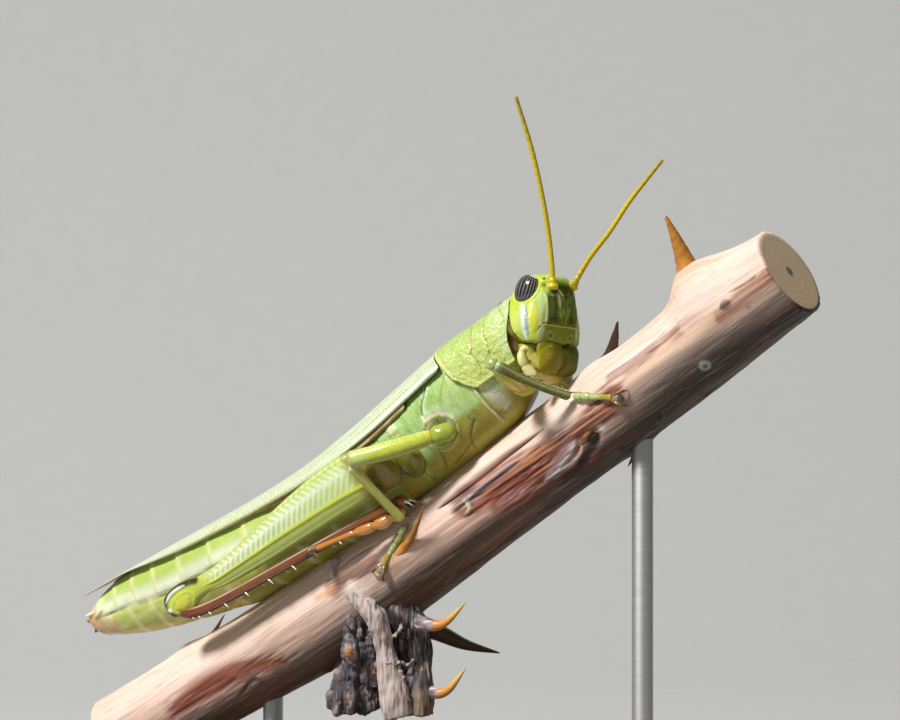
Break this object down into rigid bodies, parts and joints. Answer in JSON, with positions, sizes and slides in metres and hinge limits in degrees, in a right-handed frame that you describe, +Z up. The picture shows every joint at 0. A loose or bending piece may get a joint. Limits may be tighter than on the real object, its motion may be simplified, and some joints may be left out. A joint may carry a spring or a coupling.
{
  "type": "grasshopper display model",
  "caption": "Life-size still model of a green bird grasshopper climbing a cut length of thorny cane, held over a flat display base by rods.",
  "frame": {"origin": "centre of the display base's underside", "axes": "+Z up; the grasshopper climbs towards +X, turned 28 degrees towards -Y, where it is seen from; millimetre solids at real size"},
  "size_m": [0.083, 0.069, 0.0798],
  "materials": {
    "green_shell": "satin, granular yellow-green insect shell",
    "pale_shell": "glossy pale yellow-green",
    "yellow_shell": "waxy yellow",
    "eye": "wet gloss, dark with pale stripes",
    "wing_cover": "thin, satin, pale grey-green with fine veins",
    "hindwing": "thin, satin, pinkish brown",
    "maroon_shin": "glossy maroon",
    "amber_foot": "waxy, pinkish orange",
    "cane_bark": "smooth pinkish bark with weathered streaks",
    "dead_bark": "rough grey fibrous bark",
    "walnut": "satin varnish",
    "steel_rod": "fine brushed"
  },
  "bodies": {
    "root": {"abdomen_front": "pale_shell", "abdomen_middle": "pale_shell", "abdomen_rear": "pale_shell", "antenna_left": "yellow_shell", "antenna_right": "yellow_shell", "eye_left": "eye", "eye_right": "eye", "head": "green_shell", "hindwing_left": "hindwing", "hindwing_right": "hindwing", "labrum": "green_shell", "leg_left_front_coxa": "pale_shell", "leg_left_front_femur": "pale_shell", "leg_left_front_tarsus": "pale_shell", "leg_left_front_tibia": "pale_shell", "leg_left_hind_coxa": "pale_shell", "leg_left_hind_femur": "pale_shell", "leg_left_hind_tarsus": "amber_foot", "leg_left_hind_tibia": "maroon_shin", "leg_left_middle_coxa": "pale_shell", "leg_left_middle_femur": "pale_shell", "leg_left_middle_tarsus": "pale_shell", "leg_left_middle_tibia": "pale_shell", "leg_right_front_coxa": "pale_shell", "leg_right_front_femur": "pale_shell", "leg_right_front_tarsus": "pale_shell", "leg_right_front_tibia": "pale_shell", "leg_right_hind_coxa": "pale_shell", "leg_right_hind_femur": "pale_shell", "leg_right_hind_tarsus": "amber_foot", "leg_right_hind_tibia": "maroon_shin", "leg_right_middle_coxa": "pale_shell", "leg_right_middle_femur": "pale_shell", "leg_right_middle_tarsus": "pale_shell", "leg_right_middle_tibia": "pale_shell", "mouthparts": "yellow_shell", "ovipositor": "pale_shell", "perch_cane": "cane_bark", "perch_dead_bud": "dead_bark", "perch_dead_shoot": "dead_bark", "pronotum": "green_shell", "stand_base": "walnut", "stand_rod_1": "steel_rod", "stand_rod_2": "steel_rod", "tegmen_left": "wing_cover", "tegmen_right": "wing_cover", "thorax": "green_shell"}
  },
  "joints": []
}
